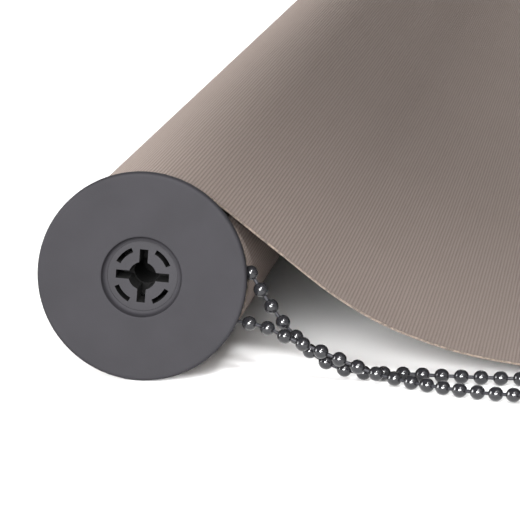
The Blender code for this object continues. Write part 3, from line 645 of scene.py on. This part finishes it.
clip_start = blind(*LOWER_STRAND[-1])
clip_end = blind(*CHAIN_TAIL[0])
connector = barrel("connector_clip", clip_start, clip_end, CLIP_RADII, bead_material)
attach(connector, "control_unit")
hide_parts("chain_connector")

# %% [markdown]
# ## Control end
# The cover disc has a softly rounded rim and, round the hub, a recess with a hollow curved wall.

# %% Cover disc
RECESS_DEPTH = 2.4
RECESS_WALL = [
    (10.74, RECESS_DEPTH), (11.15, 2.38), (11.5, 2.26), (11.8, 1.98), (12.02, 1.55), (12.16, 1.05),
    (12.25, 0.55), (12.32, 0.2), (12.42, 0.05), (12.56, 0.0), (12.9, 0.0),
]
DISC_THICKNESS = 3.2
FRONT_EDGE, BACK_EDGE = 1.0, 0.5
FLAT_RING = 1.6
EDGE_STEPS = 6


def rounded(radius, y, edge, quarter):
    """Points of a quarter-round edge: quarter 0 from the front face to the rim, 1 from there to the back."""
    points = []
    for step in range(EDGE_STEPS + 1):
        a = math.pi / 2 * step / EDGE_STEPS
        if quarter == 0:
            points.append((radius - edge + edge * math.sin(a), y + edge - edge * math.cos(a)))
        else:
            points.append((radius - edge + edge * math.cos(a), y - edge + edge * math.sin(a)))
    return points


disc_profile = (RECESS_WALL + [(DISC_RADIUS - FLAT_RING, 0.0)]
                + rounded(DISC_RADIUS, 0.0, FRONT_EDGE, 0)
                + rounded(DISC_RADIUS, DISC_THICKNESS, BACK_EDGE, 1)
                + [(RECESS_WALL[0][0], DISC_THICKNESS)])
cover_disc = solid_of_revolution("cover_disc", disc_profile, control_plastic, steps=256)
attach(cover_disc, "control_unit")
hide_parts("control_flange")

# %% [markdown]
# The hub is turned, then the cross-shaped socket, the bore behind it and the four curved slots are cut
# into its face, and a fine bevel catches the light on every cut edge.

# %% Hub with its cross socket
HUB_TWIST = math.radians(4.3)
SOCKET_ARM, ARM_WIDTH, SOCKET_MIDDLE = 8.15, 2.6, 4.3
SOCKET_BACK = 13.4
SLOT_INNER, SLOT_OUTER, SLOT_HALF = 7.7, 9.15, math.radians(20)
BORE_RADIUS, BORE_BACK = 4.0, 32.0
CUTTER_FRONT = -1.0
CORNER_STEPS, SLOT_STEPS, BORE_STEPS = 8, 12, 48
HUB_PROFILE = [
    (0.0001, RECESS_DEPTH), (10.3, RECESS_DEPTH), (10.68, 2.42), (10.7, 2.5), (10.7, 3.2), (10.1, 3.2),
    (10.1, 13.0), (7.5, 13.0), (7.5, 47.5), (0.0001, 47.5),
]
HUB_BEVEL = 0.1


def cutter(name, outline, back):
    """An outline of (x, z) mm about the roll's axis, pushed along y to the back of the hollow it cuts."""
    n = len(outline)
    verts = [blind(x, y, DISC_RADIUS + z) for y in (CUTTER_FRONT, back) for x, z in outline]
    faces = [(i, (i + 1) % n, n + (i + 1) % n, n + i) for i in range(n)]
    faces += [tuple(range(n))[::-1], tuple(range(n, 2 * n))]
    # The cut walls take this blacker plastic as painted shade inside the socket, bore and slots.
    obj = new_piece(name, verts, faces, painted_shade_plastic)
    face_outwards(obj)
    return obj


def cross_outline():
    """Four arms, joined by the arcs of the socket's round middle."""
    half = ARM_WIDTH / 2
    reach = math.sqrt(SOCKET_MIDDLE ** 2 - half ** 2)
    first = math.atan2(half, reach)
    outline = []
    for quarter in range(4):
        turn = math.pi / 2 * quarter - HUB_TWIST
        corners = [(reach, -half), (SOCKET_ARM, -half), (SOCKET_ARM, half), (reach, half)]
        for step in range(1, CORNER_STEPS):
            a = first + (math.pi / 2 - 2 * first) * step / CORNER_STEPS
            corners.append((SOCKET_MIDDLE * math.cos(a), SOCKET_MIDDLE * math.sin(a)))
        outline += [(x * math.cos(turn) - z * math.sin(turn), x * math.sin(turn) + z * math.cos(turn))
                    for x, z in corners]
    return outline


def slot_outline(middle):
    """A curved slot, given the angle of its middle."""
    sweep = [middle + SLOT_HALF * (2 * i / SLOT_STEPS - 1) for i in range(SLOT_STEPS + 1)]
    return ([(SLOT_OUTER * math.cos(a), SLOT_OUTER * math.sin(a)) for a in sweep]
            + [(SLOT_INNER * math.cos(a), SLOT_INNER * math.sin(a)) for a in sweep[::-1]])


def bore_outline():
    angles = [2 * math.pi * k / BORE_STEPS for k in range(BORE_STEPS)]
    return [(BORE_RADIUS * math.cos(a), BORE_RADIUS * math.sin(a)) for a in angles]


def subtract(target, tool):
    """Cuts the tool out of the target, whose new faces take the tool's material."""
    modifier = target.modifiers.new("cut", "BOOLEAN")
    modifier.operation = "DIFFERENCE"
    modifier.solver = "EXACT"
    modifier.object = tool
    modifier.material_mode = "TRANSFER"
    bpy.context.view_layer.objects.active = target
    bpy.ops.object.modifier_apply(modifier=modifier.name)
    bpy.data.objects.remove(tool)


def ease_edges(obj):
    bevel = obj.modifiers.new("eased edges", "BEVEL")
    bevel.width = HUB_BEVEL * MM
    bevel.segments = 1
    bevel.limit_method = "ANGLE"
    bevel.angle_limit = math.radians(60)
    bevel.harden_normals = True
    obj.data.shade_smooth()
    obj.data.set_sharp_from_angle(angle=math.radians(12))


hub = solid_of_revolution("socket_hub", HUB_PROFILE, socket_plastic)
subtract(hub, cutter("cut_cross", cross_outline(), SOCKET_BACK))
subtract(hub, cutter("cut_bore", bore_outline(), BORE_BACK))
for quarter in range(4):
    middle = math.radians(45 + 90 * quarter) - HUB_TWIST
    subtract(hub, cutter("cut_slot", slot_outline(middle), SOCKET_BACK))
ease_edges(hub)
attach(hub, "control_unit")
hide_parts("control_hub")
print("hub faces:", len(hub.data.polygons))

# %% [markdown]
# ## Fabric
# One cloth makes the roll's slack outermost turn and the fall to the surface. The flat stretch is its own
# piece. Inside, the tightly wound turns are a true spiral that turns with the roller.

# %% Cloth helpers
FABRIC_START, FABRIC_WIDTH, FABRIC_THICKNESS = 12.0, 1168.0, 0.6
TURN_CENTRE = (1.1, DISC_RADIUS - 1.0)
TURN_RADIUS = 30.2
FALL_END, FLAT_END, RAIL_HEIGHT = 165.0, 395.0, 11.0
EDGE_ROWS = [0.0, 0.5, 1.5, 3.0, 6.0, 10.0, 16.0, 24.0]
MIDDLE_START, MIDDLE_ROWS = 36.0, 96
EDGE_WANDER = 0.10
FALL_ROUTE = [
    (27.8, 48.5), (34.8, 42.9), (41.4, 37.7), (50.1, 30.8), (57.2, 25.6), (67.3, 19.5), (76.9, 15.0),
    (90.6, 10.1), (102.3, 7.1), (114.2, 5.1), (127.0, 3.3), (140.0, 1.8), (152.0, 0.7),
]


def cloth_rows():
    """Places along y: close together near the side edges, wider in the middle."""
    middle = list(np.linspace(MIDDLE_START, FABRIC_WIDTH - MIDDLE_START, MIDDLE_ROWS))
    far_edge = [FABRIC_WIDTH - e for e in EDGE_ROWS[::-1]]
    return [FABRIC_START + y for y in EDGE_ROWS + middle + far_edge]


def rim_places(rows, columns):
    """(row, column) of each corner round a sheet's rim, in order."""
    near = [(0, k) for k in range(columns)]
    end = [(j, columns - 1) for j in range(1, rows)]
    far = [(rows - 1, k) for k in range(columns - 2, -1, -1)]
    start = [(j, 0) for j in range(rows - 2, 0, -1)]
    return near + end + far + start


def set_millimetres(obj, uvs):
    """The UV map that the weave reads, from (u, v) in mm for each corner."""
    layer = obj.data.uv_layers.new(name="millimetres")
    for loop in obj.data.loops:
        layer.data[loop.index].uv = uvs[loop.vertex_index]


def cloth(name, line, start_length, sway=None):
    """A sheet of the fabric's thickness along an (x, z) line in mm, with the millimetre UV map."""
    along = arc_lengths(line) + start_length
    tangent = np.gradient(line, axis=0)
    tangent /= np.linalg.norm(tangent, axis=1)[:, None]
    across = np.stack([-tangent[:, 1], tangent[:, 0]], axis=1)
    rows = cloth_rows()
    columns = len(line)
    verts, uvs = [], []
    for side in (0.5, -0.5):
        for y in rows:
            at_edge = y in (rows[0], rows[-1])
            for k in range(columns):
                shift = side * FABRIC_THICKNESS + (sway(along[k], y) if sway else 0.0)
                x, z = line[k] + across[k] * shift
                wander = EDGE_WANDER * jitter(k, 3) if at_edge else 0.0
                verts.append(blind(x, y + wander, z))
                uvs.append((along[k], y))
    faces = []
    layer = len(rows) * columns
    for j in range(len(rows) - 1):
        for k in range(columns - 1):
            a = j * columns + k
            faces.append((a, a + columns, a + columns + 1, a + 1))
            faces.append((layer + a, layer + a + 1, layer + a + columns + 1, layer + a + columns))
    broad_faces = len(faces)
    ids = [j * columns + k for j, k in rim_places(len(rows), columns)]
    for a, b in zip(ids, ids[1:] + ids[:1]):
        faces.append((a, b, layer + b, layer + a))
    obj = new_piece(name, verts, faces, fabric_material, 50)
    paint_faces(obj, cut_yarn, slice(broad_faces, None))
    set_millimetres(obj, uvs)
    return obj


# %% [markdown]
# The line of the slack turn starts where it is tucked under the fall, runs round below the roll and over
# the top, and leaves the roll at 51 degrees above the way it goes.

# %% Slack turn and fall
TUCK_END, TUCK_START, LEAVING, TURN_STEP = 396, 345, 51, 6
TUCK_DEPTH = 1.1
FALL_COLUMNS = 260
SLACK_HEIGHT = 0.9
SLACK_LENGTH, SLACK_WIDTH = 90, 260


def on_turn(degrees, radius=TURN_RADIUS):
    a = math.radians(degrees)
    return (TURN_CENTRE[0] + radius * math.cos(a), TURN_CENTRE[1] + radius * math.sin(a))


turn_points = []
for degrees in range(TUCK_END, LEAVING + TURN_STEP // 2, -TURN_STEP):
    drawn_in = TUCK_DEPTH * max(0.0, (degrees - TUCK_START) / (TUCK_END - TUCK_START))
    turn_points.append(on_turn(degrees, TURN_RADIUS - drawn_in))
turn_points.append(on_turn(LEAVING))
fall_line = catmull(turn_points + FALL_ROUTE + [(FALL_END, FABRIC_THICKNESS / 2)], 5)
fall_line = at_lengths(fall_line, np.linspace(0, arc_lengths(fall_line)[-1], FALL_COLUMNS))
fall_length = arc_lengths(fall_line)[-1]
leave_length = arc_lengths(catmull(turn_points, 5))[-1]


def slack(u, y):
    """A slow unevenness in the hanging part, in mm, that dies out at the roll and at the surface."""
    free = (u - leave_length) / (fall_length - leave_length)
    if free <= 0 or free >= 1:
        return 0.0
    wave_height = noise.noise(Vector((u / SLACK_LENGTH, y / SLACK_WIDTH, 0.3)))
    return SLACK_HEIGHT * math.sin(math.pi * free) ** 2 * wave_height


fall = cloth("fabric_turn_and_fall", fall_line, 0.0, slack)
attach(fall, "control_unit")
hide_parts("fabric_turn", "fabric_fall")
print(f"slack turn and fall: {fall_length:.0f} mm of cloth, {len(fall.data.polygons)} faces")

# %% [markdown]
# The flat stretch lies on the surface and rises into the middle of the bottom rail.

# %% Flat stretch
LYING = FABRIC_THICKNESS / 2
flat_points = [
    (FALL_END, LYING), (200, LYING), (260, LYING), (330, LYING), (FLAT_END - 28, LYING),
    (FLAT_END - 20, 0.7), (FLAT_END - 10, 2.4), (FLAT_END, RAIL_HEIGHT / 2),
]
flat_line = catmull(flat_points, 8)
flat_line[:, 1] = np.maximum(flat_line[:, 1], LYING)
flat = cloth("fabric_flat_stretch", flat_line, fall_length)
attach(flat, "control_unit")
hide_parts("fabric_flat")

# %% [markdown]
# Frayed yarn ends stand out of both cut sides, one or two at each rib.

# %% Frayed side edges
STRANDS_PER_RIB = 2
STRAND_FIRST, STRAND_STEP = 0.35, 0.3
STUB_ROOT, STUB_REACH, STUB_EXTRA = 0.15, 0.16, 0.35
LONG_STUB_FROM = 0.93
STUB_LEAN, STUB_LIFT = 0.16, 0.12
STUB_LOW, STUB_TIP_LOW = 0.32, 0.2
STUB_RADIUS = 0.13


def stub(root, tip, base):
    """Corners and faces of a thin three-sided yarn end, numbered from base."""
    verts, faces = [], []
    for k in range(3):
        a = 2 * math.pi * k / 3
        shift = Vector((math.cos(a), 0, math.sin(a))) * STUB_RADIUS * MM
        verts += [root + shift, tip + shift * 0.5]
    for k in range(3):
        a, b = base + 2 * k, base + 2 * ((k + 1) % 3)
        faces.append((a, b, b + 1, a + 1))
    faces.append((base + 1, base + 3, base + 5))
    faces.append((base + 4, base + 2, base))
    return verts, faces


def frayed_edge(name, line, start_length, sway=None):
    """Short thin yarn stubs at each rib's end, on both sides of the cloth."""
    length = arc_lengths(line)[-1]
    verts, faces = [], []
    for rib in range(int(length / RIB_PITCH)):
        for strand in range(STRANDS_PER_RIB):
            place = (rib + STRAND_FIRST + STRAND_STEP * strand) * RIB_PITCH
            x, z = at_lengths(line, np.array([min(place, length - 0.1)]))[0]
            lift = sway(place + start_length, FABRIC_START) if sway else 0.0
            low = max(z + lift, STUB_LOW)
            for side, edge_y in ((-1, FABRIC_START), (1, FABRIC_START + FABRIC_WIDTH)):
                seed = rib * 4 + strand * 2 + (side > 0)
                extra = STUB_EXTRA if jitter(seed, 5) > LONG_STUB_FROM else 0.0
                reach = STUB_REACH + STUB_REACH * (jitter(seed) + 1) + extra
                tip_z = max(low + STUB_LIFT * jitter(seed, 9), STUB_TIP_LOW)
                root = blind(x, edge_y - side * STUB_ROOT, low)
                tip = blind(x + STUB_LEAN * jitter(seed, 7), edge_y + side * reach, tip_z)
                more_verts, more_faces = stub(root, tip, len(verts))
                verts += more_verts
                faces += more_faces
    return new_piece(name, verts, faces, cut_yarn, 80)


fall_fray = frayed_edge("frayed_edge_fall", fall_line, 0.0, slack)
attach(fall_fray, "control_unit")
flat_fray = frayed_edge("frayed_edge_flat", flat_line, fall_length)
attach(flat_fray, "control_unit")

# %% [markdown]
# The flat stretch and its frayed edge each get a mesh of their own.

# %% Flat stretch and its frayed edge get meshes of their own
for piece in (flat, flat_fray):
    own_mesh(piece)

# %% [markdown]
# The spring behind the far end's pin is a coil of its own.

# %% Pin spring
SPRING_TURNS, SPRING_STEPS = 6, 24
SPRING_WIRE_RADIUS = 0.45
spring_low, spring_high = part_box("idle_spring")


def pin_spring():
    """A round coil in the space of the spring's node."""
    centre = (spring_low + spring_high) / 2
    wire = SPRING_WIRE_RADIUS * MM
    radius = (spring_high.x - spring_low.x) / 2 - wire
    first, last = spring_low.y + wire, spring_high.y - wire
    steps = SPRING_TURNS * SPRING_STEPS
    points = []
    for k in range(steps + 1):
        turn = 2 * math.pi * k / SPRING_STEPS
        y = first + (last - first) * k / steps
        points.append(Vector((centre.x + radius * math.cos(turn), y, centre.z + radius * math.sin(turn))))
    verts, faces = tube_along(points, wire)
    return new_piece("pin_spring_coil", verts, faces, steel, 60)


spring_coil = pin_spring()
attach(spring_coil, "idle_bearing")
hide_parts("idle_spring")
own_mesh(spring_coil)

# %% [markdown]
# The wound turns: a spiral strip of the cloth's thickness, each turn's side edge a little out of line with
# the last.

# %% Wound turns
TUBE_RADIUS, ROLL_RADIUS = 22.0, 28.0
TUBE_GAP = 0.3
TURN_SPACING = 0.66
TURN_STEPS = 72
TURN_SKEW = 0.35
WOUND_START, WOUND_SHARE = 0.4, 0.9993
WOUND_ROWS = [0.0, 2.0, FABRIC_WIDTH / 2, FABRIC_WIDTH - 2.0, FABRIC_WIDTH]


def wound_corners(steps):
    """Corners of the spiral, inner row then outer row at each step, and their UVs in mm."""
    verts, uvs = [], []
    length = 0.0
    for i in range(steps + 1):
        a = 2 * math.pi * i / TURN_STEPS
        radius = TUBE_RADIUS + TUBE_GAP + FABRIC_THICKNESS / 2 + TURN_SPACING * i / TURN_STEPS
        length += radius * 2 * math.pi / TURN_STEPS
        skew = TURN_SKEW * jitter(int(i / TURN_STEPS), 11) * math.sin(a / 2) ** 2
        for r in (radius - FABRIC_THICKNESS / 2, radius + FABRIC_THICKNESS / 2):
            x, z = r * math.cos(a), DISC_RADIUS + r * math.sin(a)
            for y in WOUND_ROWS:
                verts.append(blind(x, FABRIC_START + WOUND_START + y * WOUND_SHARE + skew, z))
                uvs.append((length, y))
    return verts, uvs


def wound_faces(steps):
    """The spiral's inner and outer faces, its two side edges and its two ends."""
    n = len(WOUND_ROWS)
    faces = []
    for i in range(steps):
        inner, outer = 2 * n * i, 2 * n * i + n
        for k in range(n - 1):
            faces.append((inner + k, inner + k + 1, inner + k + 1 + 2 * n, inner + k + 2 * n))
            faces.append((outer + k, outer + k + 2 * n, outer + k + 1 + 2 * n, outer + k + 1))
        for k in (0, n - 1):
            faces.append((inner + k, outer + k, outer + k + 2 * n, inner + k + 2 * n))
    for i in (0, steps):
        inner, outer = 2 * n * i, 2 * n * i + n
        for k in range(n - 1):
            faces.append((inner + k, inner + k + 1, outer + k + 1, outer + k))
    return faces


def wound_turns():
    """The cloth on the tube, as one closed spiral."""
    turns = (ROLL_RADIUS - TUBE_RADIUS - TUBE_GAP - FABRIC_THICKNESS) / TURN_SPACING
    steps = int(turns * TURN_STEPS)
    verts, uvs = wound_corners(steps)
    obj = new_piece("fabric_wound_turns", verts, wound_faces(steps), fabric_material, 60)
    set_millimetres(obj, uvs)
    face_outwards(obj)
    return obj


wound = wound_turns()
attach(wound, "roller")
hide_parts("fabric_roll")
print("wound turns:", len(wound.data.polygons), "faces")

# %% [markdown]
# ## The pieces that keep their designed shape
# Every other piece shows as designed, in its own finish, except that the inner pieces take the blacker
# plastic as painted shade.

# %% Finishes for the designed pieces
FINISHES = {
    control_plastic: ["idle_flange", "rail_cap_control", "rail_cap_idle"],
    # These inner pieces take the blacker plastic as painted shade.
    painted_shade_plastic: ["chain_guard", "chain_wheel", "tube_adapter", "idle_plug"],
    aluminium: ["roller_tube", "bottom_rail"],
    steel: ["clutch_spring_1", "clutch_spring_2", "spindle_clip", "idle_pin"],
    nylon: ["idle_bush"],
    strip_plastic: ["fabric_strip", "rail_strip", "chain_tie"],
}
DESIGNED_SHARP_ANGLE = math.radians(30)
for material, names in FINISHES.items():
    for name in names:
        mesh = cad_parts[name].data
        mesh.materials.clear()
        mesh.materials.append(material)
        mesh.shade_smooth()
        mesh.set_sharp_from_angle(angle=DESIGNED_SHARP_ANGLE)
print("finished nodes:", sum(len(names) for names in FINISHES.values()))

# %% [markdown]
# ## Surface and light
# A plain white surface. A broad soft key comes low from in front of the control end, and a second one low
# from the left brightens the roll's back. Weak ones from the right, from behind and from high up fill the
# rest, and two small cards brighten the control end.

# %% Surface
SURFACE_SIZE = 60.0
SURFACE_Z = -0.0002


def surface():
    """A wide plain sheet just below the lowest piece."""
    material, tree, shader = start_material("white_surface")
    set_inputs(tree, shader, Base_Color=colour("#f7f7f7"), Roughness=0.9, Specular_IOR_Level=0.1)
    corners = [(-1, -1), (1, -1), (1, 1), (-1, 1)]
    verts = [(x * SURFACE_SIZE, y * SURFACE_SIZE, SURFACE_Z) for x, y in corners]
    obj = new_piece("white_surface", verts, [(0, 1, 2, 3)], material)


surface()

# %% Light
def sun(name, towards, strength, spread):
    """Soft light from afar. towards is the way from the blind to the light."""
    lamp = bpy.data.lights.new(name, "SUN")
    lamp.energy = strength
    lamp.angle = math.radians(spread)
    obj = bpy.data.objects.new(name, lamp)
    obj.rotation_euler = Vector(towards).to_track_quat("Z", "Y").to_euler()
    bpy.context.collection.objects.link(obj)


def from_bearing(bearing, height):
    """The way towards a bearing in degrees, from in front of the control end to the right, and a height."""
    a, e = math.radians(bearing), math.radians(height)
    return (math.sin(a) * math.cos(e), -math.cos(a) * math.cos(e), math.sin(e))


def card(place, aim, size, power, spread):
    """A small bright card, size in mm, near the control end. Its light is kept to a narrow fan."""
    lamp = bpy.data.lights.new("bright_card", "AREA")
    lamp.size = size * MM
    lamp.energy = power
    lamp.spread = math.radians(spread)
    obj = bpy.data.objects.new("bright_card", lamp)
    obj.location = blind(*place)
    obj.rotation_euler = (blind(*place) - blind(*aim)).to_track_quat("Z", "Y").to_euler()
    obj.visible_camera = False
    bpy.context.collection.objects.link(obj)


def studio_world(strength):
    """A dim white surround."""
    world = bpy.data.worlds.new("studio")
    world.use_nodes = True
    background = world.node_tree.nodes["Background"]
    background.inputs["Color"].default_value = colour("#ffffff")
    background.inputs["Strength"].default_value = strength
    bpy.context.scene.world = world


sun("front_softbox", from_bearing(-5, 13), strength=11.4, spread=28)
sun("left_softbox", from_bearing(-90, 10), strength=6.5, spread=40)
sun("right_softbox", from_bearing(70, 18), strength=0.3, spread=50)
sun("back_softbox", from_bearing(180, 30), strength=0.5, spread=40)
sun("high_softbox", from_bearing(35, 50), strength=0.8, spread=40)
card((210, -300, 90), aim=(110, 95, 5), size=90, power=0.05, spread=30)
card((150, -350, 330), aim=(5, 25, 45), size=80, power=0.14, spread=40)
studio_world(0.03)
bpy.context.scene.view_settings.view_transform = "Standard"
